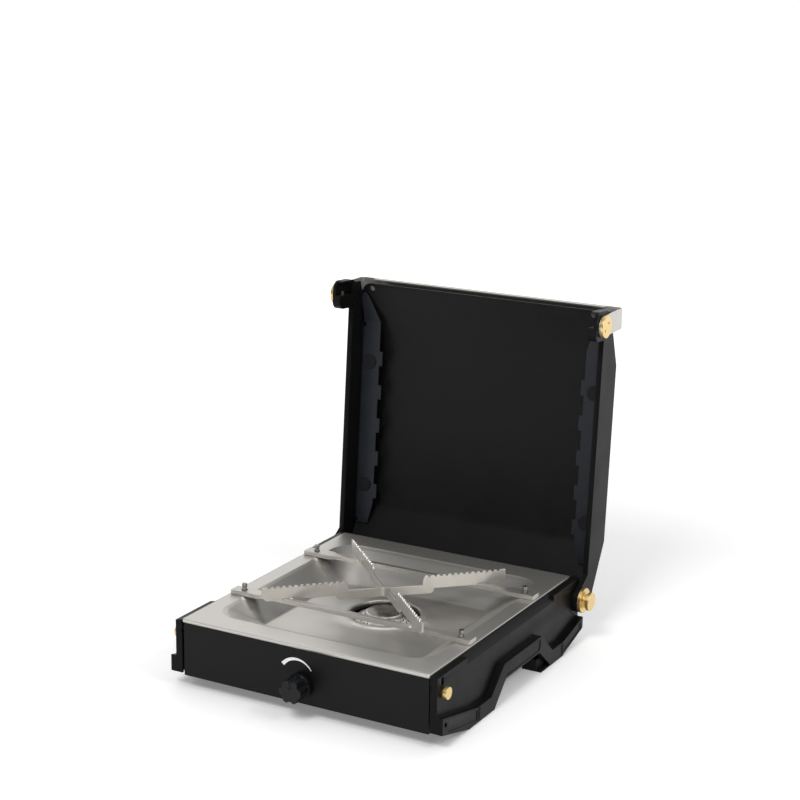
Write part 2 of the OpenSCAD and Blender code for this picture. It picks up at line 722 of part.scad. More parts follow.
module lid_panel() {
    inner_x = lid_side_x - sheet_t;
    side_wall = [[flange_n, 24], [lid_back_n - 1, lid_band - 6], [lid_back_n - 1, lid_len - lid_band],
                 [lid_edge_n - 0.5, lid_len - 1], [lid_edge_n - 0.5, lid_len - 6], [flange_n, fold_s]];
    color(powder_black) in_frame() on_lid() difference() {
        union() {
            lid_section(-lid_side_x, lid_side_x, concat(lid_line(0), backward(lid_line(sheet_t))));
            both_sides() lid_section(inner_x, lid_side_x, side_wall);
            // Stiffening hem along the front and rear edges
            box([-lid_side_x, lid_side_x], [lid_edge_n - 2.4, lid_edge_n - eps], [lid_len - 1.2, lid_len]);
        }
        both_sides() rod_y(lid_edge_n - 10, lid_back_n + 10, 2.6, vent_x, lid_len - 5.5);
        for (s = rivet_s) rod_x(-lid_side_x - 1, lid_side_x + 1, rivet_r + run_fit, lid_back_n - 7, s);
        // Round corners at the free end
        both_sides() translate([lid_side_x - 14, lid_edge_n - 5, lid_len - 14]) difference() {
            cube([20, 30, 20]);
            rod_y(-1, 31, 14, 0, 0);
        }
    }
}

fold_s = lid_len - 40;
tip_lean = 14.5;
tab_count = 5;
tab_pitch = (lid_len - 103.5) / tab_count;
tab_len = 15;
tab_out = 4;
tab_first = 53;

// Folded-in flange on one side, in lid space
module lid_flange() {
    inner = lid_side_x - flange_w;
    low_s = 26;
    outer = lid_side_x - sheet_t;
    // Tapered tip, bent forward to stay under the lid's sloping end
    translate([0, flange_n, fold_s]) rotate([tip_lean, 0, 0]) translate([0, -flange_n, -fold_s]) rotate_into_lid()
        polygon([[outer, fold_s - 0.2], [outer, lid_len - 14], [outer - 1.5, lid_len - 10],
                 [outer - 5, lid_len - 9], [outer - 9, lid_len - 16], [inner + 3.5, fold_s - 0.2]]);
    difference() {
        rotate_into_lid() {
            polygon([[outer, low_s - 1], [outer, fold_s], [inner + 3.5, fold_s],
                     [inner + 3.5, low_s + 22], [inner + 9, low_s - 1]]);
            for (i = [0:tab_count - 1])
                translate([inner, tab_first + i * tab_pitch]) square([5, tab_len]);
        }
        // Reliefs at both ends of the fold
        for (s = [low_s, fold_s - 6])
            box([outer - 2, outer + 1], [flange_n - 1, flange_n + 3], [s, s + 4]);
        for (s = bumper_s) rod_y(flange_n - 1, flange_n + 3, bumper_hole_r, bumper_x, s);
    }
}

// Sheet that lies in the flange's plane, drawn as (x, s)
module rotate_into_lid() translate([0, flange_n + sheet_t, 0]) rotate([90, 0, 0]) linear_extrude(sheet_t) children();

module left_lid_flange() color(powder_black) in_frame() on_lid() on_side(-1) lid_flange();
module right_lid_flange() color(powder_black) in_frame() on_lid() on_side(1) lid_flange();

bumper_s = [hinge_y - bar_y[1] - 6.5, hinge_y - bar_y[0] - 6.5];
bumper_x = panel_x - 1.5;
bumper_hole_r = 2.2;

module lid_bumpers() {
    color("#151517") in_frame() on_lid() both_sides() for (s = bumper_s) translate([bumper_x, 0, s]) {
        rod_y(flange_n - 1.6, flange_n, 7);
        rod_y(flange_n - eps, flange_n + sheet_t + 1, bumper_hole_r - run_fit);
        rod_y(flange_n + sheet_t, flange_n + sheet_t + 1.4, 3.6);
    }
}

rivet_s = [60, lid_len / 2, lid_len - 70];
rivet_r = 1.8;

module flange_rivets() {
    color("#2b2b2d") in_frame() on_lid() both_sides() for (s = rivet_s) {
        rod_x(lid_side_x - sheet_t - 1.2, lid_side_x - sheet_t, 3, lid_back_n - 7, s);
        rod_x(lid_side_x - sheet_t - eps, lid_side_x + 3, rivet_r, lid_back_n - 7, s);
    }
}

corner_r = 15;

// Side frame in lid space: a moulded wall that carries the hinge lug
module lid_frame() {
    back = lid_line(0);
    top_s = lid_len + 1;
    difference() {
        union() {
            lid_section(frame_x, frame_out_x, concat(
                [[-hinge_lug_r * 0.7, 8], [frame_edge_n, 22], [frame_edge_n, top_s], [lid_edge_n, top_s]],
                [[back[2][0] + 0.8, back[2][1]], [back[1][0] + 0.8, back[1][1]]],
                [[lid_edge_n, 0], [hinge_lug_r * 0.9, -4]]));
            rod_x(frame_x, frame_out_x, hinge_lug_r, 0, 0);
        }
        rod_x(frame_x - 1, frame_out_x + 1, hinge_r + run_fit, 0, 0);
        for (s = rivet_s) rod_x(frame_x - 1, frame_x + 3.5, rivet_r + run_fit, lid_back_n - 7, s);
        box([frame_x - 1, frame_out_x + 1], bracket_n, bracket_s);
    }
}

// Span of the corner bracket, behind the hinge and along the lid
bracket_n = [pivot_n - bracket_half, pivot_n + bracket_half + 3];
bracket_s = [pivot_s - bracket_half, pivot_s + bracket_half];

// Corner bracket: holds the handle's pivot and closes over the lock stud
module lid_bracket() {
    difference() {
        along_x(frame_x, bracket_x) round_rect(bracket_n, bracket_s, 8);
        // Pocket for the lock stud, open at the front and towards the housing
        box([frame_x - 1, frame_out_x - 0.1], [bracket_n[0] - 1, hinge_offset_n + lock_pocket],
            [lock_s - lock_pocket, lock_s + lock_pocket]);
        rod_x(frame_out_x - 2, bracket_x + 1, pivot_r + run_fit, pivot_n, pivot_s);
    }
}

// Where the lock stud sits in lid space when the lid is shut
lock_s = hinge_y - lock_y;
hinge_offset_n = lock_z - hinge_z;

module left_lid_frame() color(moulded_black) in_frame() on_lid() on_side(-1) lid_frame();
module right_lid_frame() color(moulded_black) in_frame() on_lid() on_side(1) lid_frame();
module left_lid_bracket() color(moulded_black) in_frame() on_lid() on_side(-1) lid_bracket();
module right_lid_bracket() color(moulded_black) in_frame() on_lid() on_side(1) lid_bracket();

module handle_pin() {
    difference() {
        union() {
            rod_x(frame_out_x, arm_out_x + 0.2 + eps, pivot_r, pivot_n, pivot_s);
            rod_x(arm_out_x + 0.2, arm_out_x + 3, handle_head_r, pivot_n, pivot_s);
        }
        for (a = [45, 225]) translate([0, pivot_n, pivot_s]) rotate([a, 0, 0])
            rod_x(arm_out_x + 1.6, arm_out_x + 4, 1.1, 5, 0);
    }
}

module left_handle_pin() color(brass) in_frame() on_lid() on_side(-1) handle_pin();
module right_handle_pin() color(brass) in_frame() on_lid() on_side(1) handle_pin();

module carry_handle() {
    bend = 5;
    grip = 7;
    half_w = handle_w / 2;
    color(stainless) in_frame() on_handle() {
        difference() {
            union() {
                // Strip bent to a U, seen from above
                translate([0, 0, -half_w]) linear_extrude(handle_w) difference() {
                    round_rect([-arm_out_x, arm_out_x], [-handle_reach, handle_reach], bend);
                    round_rect([-arm_x, arm_x], [-handle_reach - 1, handle_reach - handle_t], bend - handle_t);
                    translate([-arm_out_x - 1, -handle_reach - 2])
                        square([2 * arm_out_x + 2, handle_reach + 2]);
                }
                both_sides() rod_x(arm_x, arm_out_x, half_w, 0, 0);
                // Folded grip along the strip's upper edge
                box([-arm_x + 16, arm_x - 16], [handle_reach - grip, handle_reach - 0.5],
                    [half_w - handle_t, half_w]);
            }
            both_sides() rod_x(arm_x - 1, arm_out_x + 1, pivot_r + run_fit, 0, 0);
        }
    }
}

// ---------------------------------------------------------------- drawing

base_pan();
left_side_cover();
right_side_cover();
foot_pads();
cover_screws();
drip_tray();
tray_studs();
burner_body();
burner_port_ring();
burner_cap();
burner_bracket();
burner_screws();
mixing_tube();
gas_jet();
valve_body();
valve_nut();
gas_pipe();
gas_inlet();
inlet_nut();
dial_mark();
left_lock_stud();
right_lock_stud();
left_hinge_pin();
right_hinge_pin();
control_knob();
valve_spindle();
front_bar();
rear_bar();
front_arms();
rear_arms();
lid_panel();
left_lid_flange();
right_lid_flange();
left_lid_frame();
right_lid_frame();
left_lid_bracket();
right_lid_bracket();
lid_bumpers();
flange_rivets();
left_handle_pin();
right_handle_pin();
carry_handle();
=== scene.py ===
"""Camping stove: a steel box with a stainless drip tray, one burner, a lid and a carry handle.

Each sub-assembly is a class that builds its pieces on the CAD model's frame and dresses them.
"""

import json
import logging
import math
from dataclasses import dataclass, field
from typing import Iterable, Sequence

import bmesh
import bpy
import numpy as np
from mathutils import Matrix, Vector

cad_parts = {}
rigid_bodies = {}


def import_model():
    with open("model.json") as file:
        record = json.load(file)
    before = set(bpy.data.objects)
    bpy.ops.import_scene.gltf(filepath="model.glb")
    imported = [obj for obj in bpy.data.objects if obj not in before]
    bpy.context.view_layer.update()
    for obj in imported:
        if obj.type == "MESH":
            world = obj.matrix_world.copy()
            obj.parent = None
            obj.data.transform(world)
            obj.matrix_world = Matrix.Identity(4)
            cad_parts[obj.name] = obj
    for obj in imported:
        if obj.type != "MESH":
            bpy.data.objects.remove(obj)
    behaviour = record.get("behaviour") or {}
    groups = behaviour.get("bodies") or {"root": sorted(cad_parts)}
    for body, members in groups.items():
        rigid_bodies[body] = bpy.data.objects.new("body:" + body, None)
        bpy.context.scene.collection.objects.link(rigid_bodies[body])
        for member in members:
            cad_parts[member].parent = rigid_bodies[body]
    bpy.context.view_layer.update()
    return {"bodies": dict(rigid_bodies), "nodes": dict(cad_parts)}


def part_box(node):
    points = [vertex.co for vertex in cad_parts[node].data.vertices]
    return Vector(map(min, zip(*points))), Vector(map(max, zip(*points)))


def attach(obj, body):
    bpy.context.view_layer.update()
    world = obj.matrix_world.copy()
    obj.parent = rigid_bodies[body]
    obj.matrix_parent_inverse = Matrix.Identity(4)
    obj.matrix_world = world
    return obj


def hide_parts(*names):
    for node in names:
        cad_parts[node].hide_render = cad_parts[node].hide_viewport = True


log = logging.getLogger("stove")
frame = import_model()
MM = 0.001
BEVEL_ANGLE = math.radians(32)
BEVEL_SEGMENTS = 2
FLAT_ANGLE = math.radians(0.3)
TRAY_CREASE = math.radians(50)
SIDE_POINTS = 24
CORNER_POINTS = 12
GLOW_FROM = 0.5
GLOW_TO = 2.0
MERGE_GAP = 2e-6
LEAST_EDGE = 1e-6
PORT_MERGE_GAP = 8e-6
Points = np.ndarray


# ---------------------------------------------------------------- materials


class Graph:
    """The node graph of one material."""

    def __init__(self, name: str) -> None:
        """Starts an empty graph for a new material."""
        self.material = bpy.data.materials.new(name)
        self.material.use_nodes = True
        self.nodes = self.material.node_tree.nodes
        self.nodes.clear()

    def add(self, kind: str, inputs: dict | None = None, **settings) -> bpy.types.Node:
        """Adds a node.

        Args:
            kind: the node's type, without its ShaderNode prefix.
            inputs: for each input's name or place, a value or an output socket to link.
            settings: attributes of the node.

        Returns:
            The node.
        """
        node = self.nodes.new("ShaderNode" + kind)
        for name, value in settings.items():
            setattr(node, name, value)
        for key, value in (inputs or {}).items():
            if isinstance(value, bpy.types.NodeSocket):
                self.material.node_tree.links.new(value, node.inputs[key])
            else:
                node.inputs[key].default_value = value
        return node

    def noise(self, place: bpy.types.NodeSocket, scale: float, detail: float = 3.0) -> bpy.types.NodeSocket:
        """Noise of a given scale at a place, from 0 to 1."""
        return self.add("TexNoise", {"Vector": place, "Scale": scale, "Detail": detail}).outputs[0]

    def spread(self, source: bpy.types.NodeSocket, low: float, high: float) -> bpy.types.NodeSocket:
        """Noise from about 0.3 to 0.7, spread between two values."""
        return self.add("MapRange", {0: source, 1: 0.3, 2: 0.7, 3: low, 4: high}).outputs[0]


@dataclass(frozen=True)
class Finish:
    """A surface finish.

    Attributes:
        name: name of the material.
        colour: mean base colour, linear.
        roughness: mean roughness.
        metallic: 1 for bare metal.
        mottle: share by which the colour varies over the surface.
        patch: size of the colour's patches, in metres.
        grain: size of the finest relief, in metres.
        relief: height of that relief, in metres.
        stretch: how much longer than wide the grain is, along each axis.
        wear: how far the roughness varies, up and down.
        specular: how strongly a painted or plastic surface mirrors, 0.5 for plain gloss.
        glow: light given off near the stove and far from it, for a lit studio floor.
    """

    name: str
    colour: tuple[float, float, float]
    roughness: float
    metallic: float = 0.0
    mottle: float = 0.12
    patch: float = 0.03
    grain: float = 0.0006
    relief: float = 0.00002
    stretch: tuple[float, float, float] = (1.0, 1.0, 1.0)
    wear: float = 0.05
    specular: float = 0.5
    glow: tuple[float, float] = (0.0, 0.0)

    def material(self) -> bpy.types.Material:
        """The finish's material, made on first use."""
        ready = bpy.data.materials.get(self.name)
        if ready:
            return ready
        graph = Graph(self.name)
        place = graph.add("TexCoord").outputs["Object"]
        squeeze = tuple(1.0 / share for share in self.stretch)
        along = graph.add("Mapping", {"Vector": place, "Scale": squeeze}).outputs[0]
        patches = graph.noise(place, 1.0 / self.patch)
        fine = graph.noise(along, 1.0 / self.grain, 2.0)
        shade = graph.add("Math", {0: graph.spread(patches, 1 - self.mottle, 1 + self.mottle),
                                   1: graph.spread(fine, 1 - self.mottle / 2, 1 + self.mottle / 2)},
                          operation="MULTIPLY").outputs[0]
        colour = graph.add("VectorMath", {0: self.colour, "Scale": shade}, operation="SCALE").outputs[0]
        rough = graph.add("Math", {0: graph.spread(patches, -self.wear, self.wear),
                                   1: graph.spread(fine, self.roughness - self.wear,
                                                   self.roughness + self.wear)},
                          operation="ADD").outputs[0]
        bump = graph.add("Bump", {"Height": fine, "Distance": self.relief, "Strength": 1.0}).outputs[0]
        inputs = {"Base Color": colour, "Roughness": rough, "Normal": bump, "Metallic": self.metallic,
                  "Specular IOR Level": self.specular, "Emission Color": (1.0, 1.0, 1.0, 1.0)}
        if self.glow[1]:
            inputs["Emission Strength"] = self.glow_at(graph, place)
        shader = graph.add("BsdfPrincipled", inputs)
        graph.add("OutputMaterial", {"Surface": shader.outputs[0]})
        return graph.material

    def glow_at(self, graph: Graph, place: bpy.types.NodeSocket) -> bpy.types.NodeSocket:
        """Strength of the glow, which grows with the distance from the stove."""
        distance = graph.add("VectorMath", {0: place}, operation="LENGTH").outputs["Value"]
        return graph.add("MapRange", {0: distance, 1: GLOW_FROM, 2: GLOW_TO, 3: self.glow[0],
                                      4: self.glow[1]}).outputs[0]


POWDER = Finish("powder_coat", (0.006, 0.006, 0.0068), 0.42,
                grain=0.0011, relief=0.00003, specular=0.14)
# The lid's black powder coat with painted light: lighter and bluer, standing in for how light falls on the
# flanges, not a blue paint.
POWDER_PAINTED_LIGHT = Finish("powder_coat_painted_light", (0.014, 0.017, 0.022), 0.4,
                     grain=0.0011, relief=0.00003, specular=0.22)
MOULDED = Finish("moulded_plastic", (0.006, 0.006, 0.0065), 0.36,
                 grain=0.0005, relief=0.000012, specular=0.08)
KNOB_PLASTIC = Finish("knob_plastic", (0.006, 0.0065, 0.0075), 0.33,
                      grain=0.0005, relief=0.00001, specular=0.22)
RUBBER = Finish("rubber", (0.009, 0.009, 0.0095), 0.7, grain=0.0008, relief=0.00004, specular=0.2)
DARK_RIVET = Finish("dark_rivet", (0.012, 0.012, 0.014), 0.4, specular=0.3)
ZINC = Finish("zinc_plate", (0.52, 0.52, 0.54), 0.38, metallic=1.0, patch=0.006)
TRAY_STEEL = Finish("tray_stainless", (0.7, 0.67, 0.62), 0.46, metallic=0.04, mottle=0.04, patch=0.08,
                    grain=0.00045, relief=0.000004, stretch=(90.0, 1.0, 1.0), wear=0.04, specular=0.12)
SUPPORT_STEEL = Finish("support_stainless", (0.56, 0.52, 0.465), 0.24, metallic=1.0, mottle=0.08, patch=0.012,
                       grain=0.0005, relief=0.000006, stretch=(12.0, 12.0, 1.0))
HANDLE_STEEL = Finish("handle_stainless", (0.15, 0.14, 0.13), 0.24, metallic=1.0, mottle=0.05, patch=0.05,
                      grain=0.0004, relief=0.000004, stretch=(1.0, 60.0, 1.0))
BURNER_STEEL = Finish("burner_stainless", (0.6, 0.575, 0.54), 0.3, metallic=0.95, mottle=0.07, patch=0.01,
                      grain=0.0004, relief=0.000004)
STUD_STEEL = Finish("turned_steel", (0.3, 0.29, 0.275), 0.28, metallic=1.0, patch=0.004,
                    stretch=(9.0, 9.0, 1.0))
BRASS = Finish("brass", (0.78, 0.55, 0.23), 0.22, metallic=1.0, mottle=0.08, patch=0.008, grain=0.0003,
               relief=0.000004)
COPPER = Finish("drawn_copper", (0.68, 0.4, 0.27), 0.3, metallic=1.0, patch=0.02, stretch=(1.0, 20.0, 1.0))
WHITE_PRINT = Finish("white_print", (0.9, 0.9, 0.89), 0.5, mottle=0.03, patch=0.01)
PAPER = Finish("studio_paper", (0.9, 0.9, 0.9), 0.95, mottle=0.004, patch=0.7, grain=0.002, specular=0.1,
               glow=(0.2, 0.75))


# ---------------------------------------------------------------- meshes


def finish_piece(piece: bpy.types.Object, finish: Finish, slot: str, body: str) -> bpy.types.Object:
    """Gives a piece its material and lets it ride on a body."""
    piece.data.materials.clear()
    piece.data.materials.append(finish.material())
    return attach(piece, body)


def soften(piece: bpy.types.Object, radius: float) -> None:
    """Rounds a piece's sharp edges and shades the rest smooth."""
    piece.data.shade_smooth()
    piece.data.set_sharp_from_angle(angle=BEVEL_ANGLE)
    if radius <= 0:
        return
    bevel = piece.modifiers.new("rounded_edges", "BEVEL")
    bevel.limit_method = "ANGLE"
    bevel.angle_limit = BEVEL_ANGLE
    bevel.width = radius
    bevel.segments = BEVEL_SEGMENTS
    bevel.use_clamp_overlap = False
    bevel.harden_normals = True


def new_piece(name: str, mesh: bpy.types.Mesh) -> bpy.types.Object:
    """An object at the origin that shows a mesh."""
    piece = bpy.data.objects.new(name, mesh)
    bpy.context.scene.collection.objects.link(piece)
    return piece


def body_name(node: str) -> str:
    """The body that a CAD node belongs to."""
    empty = frame["nodes"][node].parent
    return next(name for name, candidate in frame["bodies"].items() if candidate == empty)


def rounded_copy(node: str, finish: Finish, slot: str, radius: float) -> bpy.types.Object:
    """A CAD node's own shape with merged faces, rounded edges and a finish.

    Args:
        node: the CAD node that the copy stands for.
        finish: its surface finish.
        slot: not used.
        radius: width of the rounded edges.

    Returns:
        The copy, riding on the node's body.
    """
    source = frame["nodes"][node]
    mesh = source.data.copy()
    mesh.name = node + "_shape"
    mesh.transform(source.matrix_world)
    work = bmesh.new()
    work.from_mesh(mesh)
    bmesh.ops.remove_doubles(work, verts=work.verts, dist=MERGE_GAP)
    bmesh.ops.dissolve_degenerate(work, edges=work.edges, dist=LEAST_EDGE)
    bmesh.ops.dissolve_limit(work, verts=work.verts, edges=work.edges, angle_limit=FLAT_ANGLE)
    bmesh.ops.recalc_face_normals(work, faces=work.faces)
    work.to_mesh(mesh)
    work.free()
    piece = new_piece(node + "_v", mesh)
    soften(piece, radius)
    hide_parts(node)
    return finish_piece(piece, finish, slot, body_name(node))


def grid_faces(rows: int, columns: int) -> Points:
    """Four-sided faces of a grid of points whose last column joins its first."""
    row = np.arange(rows - 1)[:, None]
    column = np.arange(columns)[None, :]
    after = (column + 1) % columns
    corners = (row * columns + column, row * columns + after, (row + 1) * columns + after,
               (row + 1) * columns + column)
    return np.stack([corner.ravel() for corner in corners], axis=1)


def mesh_from_grid(name: str, points: Points, caps: bool = False) -> bpy.types.Mesh:
    """A mesh from a grid of points whose rows are closed rings.

    Args:
        name: the mesh's name.
        points: rows by columns by three coordinates.
        caps: whether the first and last rings are closed with a face.

    Returns:
        The mesh.
    """
    rows, columns = points.shape[:2]
    faces = grid_faces(rows, columns).tolist()
    if caps:
        faces += [list(range(columns))[::-1], list(range((rows - 1) * columns, rows * columns))]
    mesh = bpy.data.meshes.new(name)
    mesh.from_pydata(points.reshape(-1, 3), [], faces)
    mesh.update()
    return mesh


def ring_turned(profile: Sequence[tuple[float, float]], angles: Points) -> Points:
    """Points of a profile turned about the Z axis.

    A point (r, z) of the profile becomes (r cos a, r sin a, z) for each angle a round the circle.

    Args:
        profile: (radius, height) pairs.
        angles: the angles round the circle.

    Returns:
        Rows of points, one row for each pair.
    """
    radius, height = np.array(profile, dtype=float).T
    return np.stack([np.outer(radius, np.cos(angles)), np.outer(radius, np.sin(angles)),
                     np.repeat(height[:, None], len(angles), axis=1)], axis=2)


def rounded_ring(x: float, y: tuple[float, float], radius: float) -> Points:
    """A closed rectangle with round corners, as (x, y) points, anticlockwise.

    Straight sides and corner arcs each get a fixed number of points, so that rings of any size match.

    Args:
        x: half width.
        y: front and rear edge.
        radius: radius of the corners.

    Returns:
        The points, one row for each.
    """
    share = np.linspace(0, 1, SIDE_POINTS, endpoint=False)[:, None]
    turn = np.linspace(0, math.pi / 2, CORNER_POINTS, endpoint=False)
    centres = [(x - radius, y[0] + radius), (x - radius, y[1] - radius), (radius - x, y[1] - radius),
               (radius - x, y[0] + radius)]
    parts = []
    for corner, centre in enumerate(centres):
        start = (corner - 1) * math.pi / 2
        arc = np.array(centre) + radius * np.stack([np.cos(start + turn), np.sin(start + turn)], axis=1)
        reach = radius * np.array([math.cos(start + math.pi / 2), math.sin(start + math.pi / 2)])
        end = np.array(centre) + reach
        begin = np.array(centres[(corner + 1) % 4]) + reach
        parts += [arc, end + (begin - end) * share]
    return np.concatenate(parts)


def joined(name: str, meshes: Iterable[bpy.types.Mesh], weld: float = MERGE_GAP) -> bpy.types.Mesh:
    """One mesh made of several, with touching points merged and faces turned outward."""
    work = bmesh.new()
    for part in meshes:
        work.from_mesh(part)
        bpy.data.meshes.remove(part)
    bmesh.ops.remove_doubles(work, verts=work.verts, dist=weld)
    bmesh.ops.recalc_face_normals(work, faces=work.faces)
    mesh = bpy.data.meshes.new(name)
    work.to_mesh(mesh)
    work.free()
    return mesh


# ---------------------------------------------------------------- sub-assemblies


@dataclass
class Layout:
    """Main lines of the stove, read from the CAD model, in metres."""

    front: float = field(default_factory=lambda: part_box("base_pan")[0].y)
    rear: float = field(default_factory=lambda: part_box("base_pan")[1].y)
    half_width: float = field(default_factory=lambda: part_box("base_pan")[1].x)
    tray_top: float = field(default_factory=lambda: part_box("drip_tray")[1].z)

    @property
    def burner(self) -> Vector:
        """Middle of the burner's cap."""
        low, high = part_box("burner_cap")
        return Vector(((low.x + high.x) / 2, (low.y + high.y) / 2, high.z))


@dataclass
class Tray:
    """Stainless drip tray: a pressed sheet with a rim, a sloping basin and a collar round the burner."""

    layout: Layout
    sheet: float = 0.8 * MM
    side: float = 16 * MM
    front: float = 24 * MM
    rear: float = 27 * MM
    mouth_radius: float = 24 * MM
    slope_side: float = 28.5 * MM
    slope_front: float = 38 * MM
    slope_rear: float = 56 * MM
    floor_radius: float = 8 * MM
    depth: float = 19 * MM
    hole_radius: float = 33 * MM
    collar_width: float = 6 * MM
    collar_height: float = 1.6 * MM
    rim_roll: float = 1.6 * MM
    fillet: float = 5 * MM

    def wall_ring(self, share: float, drop: float, grow: float = 0.0) -> Points:
        """The basin's outline part of the way down its wall.

        Args:
            share: 0 at the mouth and 1 at the floor.
            drop: depth of the ring under the rim.
            grow: how far the ring lies outside that outline.

        Returns:
            The ring's points.
        """
        lay = self.layout
        x = lay.half_width - self.side - self.slope_side * share + grow
        y = (lay.front + self.front + self.slope_front * share - grow,
             lay.rear - self.rear - self.slope_rear * share + grow)
        radius = self.mouth_radius + (self.floor_radius - self.mouth_radius) * share + grow
        ring = rounded_ring(x, y, radius)
        return np.column_stack([ring, np.full(len(ring), lay.tray_top - drop)])

    def circle_ring(self, like: Points, radius: float, height: float) -> Points:
        """A circle round the burner whose points lie in the same directions as another ring's."""
        middle = self.layout.burner
        angle = np.arctan2(like[:, 1] - middle.y, like[:, 0] - middle.x)
        return np.column_stack([middle.x + radius * np.cos(angle), middle.y + radius * np.sin(angle),
                                np.full(len(like), height)])

    def edge_ring(self, inset: float, drop: float) -> Points:
        """The tray's outer edge, inset and dropped."""
        low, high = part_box("drip_tray")
        ring = rounded_ring(high.x - inset, (low.y + inset, high.y - inset), 1.6 * MM)
        return np.column_stack([ring, np.full(len(ring), self.layout.tray_top - drop)])

    def points(self) -> Points:
        """All rings of the tray, from its folded edge to the burner hole."""
        fold = 3 * MM
        edge = 0.7 * MM
        rings = [self.edge_ring(0, fold), self.edge_ring(0, edge)]
        rings += [self.edge_ring(edge * (1 - math.cos(a)), edge * (1 - math.sin(a)))
                  for a in (0.5, 1.0, 1.57)]
        rings += [self.edge_ring(4 * MM, 0)]
        roll = self.rim_roll
        rings += [self.wall_ring(0, roll * (1 - math.cos(a)), roll * (1 - math.sin(a)))
                  for a in np.linspace(0, 0.6, 5)]
        lowest = 1 - self.fillet / 4 / self.depth
        rings += [self.wall_ring(share, self.depth * share) for share in np.linspace(0.06, lowest, 22)]
        floor = self.wall_ring(1, self.depth)
        inner = self.wall_ring(1 + 0.5 * self.fillet / self.slope_side, self.depth)
        rings += [self.wall_ring(1 - 0.02, self.depth * 0.994), inner]
        level = self.layout.tray_top - self.depth
        outer = self.hole_radius + self.collar_width
        around = self.circle_ring(floor, outer + 1.4 * MM, level)
        rings += [inner + (around - inner) * share for share in (0.2, 0.4, 0.6, 0.8)] + [around]
        step = self.collar_height / 2
        for radius, height in [(outer + 0.7 * MM, 0.3 * step), (outer, step), (outer - 0.5 * MM, 1.7 * step),
                               (outer - 1.3 * MM, 2 * step), (self.hole_radius + 0.9 * MM, 2 * step),
                               (self.hole_radius + 0.25 * MM, 1.8 * step), (self.hole_radius, 1.2 * step),
                               (self.hole_radius, -4 * MM)]:
            rings.append(self.circle_ring(floor, radius, level + height))
        return np.stack(rings)

    def build(self) -> list[bpy.types.Object]:
        """Makes the tray and its studs."""
        piece = new_piece("drip_tray_v", mesh_from_grid("drip_tray_shape", self.points()))
        thickness = piece.modifiers.new("sheet", "SOLIDIFY")
        thickness.thickness = self.sheet * 0.9
        thickness.offset = -1
        piece.data.shade_smooth()
        piece.data.set_sharp_from_angle(angle=TRAY_CREASE)
        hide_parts("drip_tray")
        finish_piece(piece, TRAY_STEEL, "tray_stainless", "housing")
        studs = rounded_copy("tray_studs", STUD_STEEL, "stud_steel", 0.35 * MM)
        return [piece, studs]


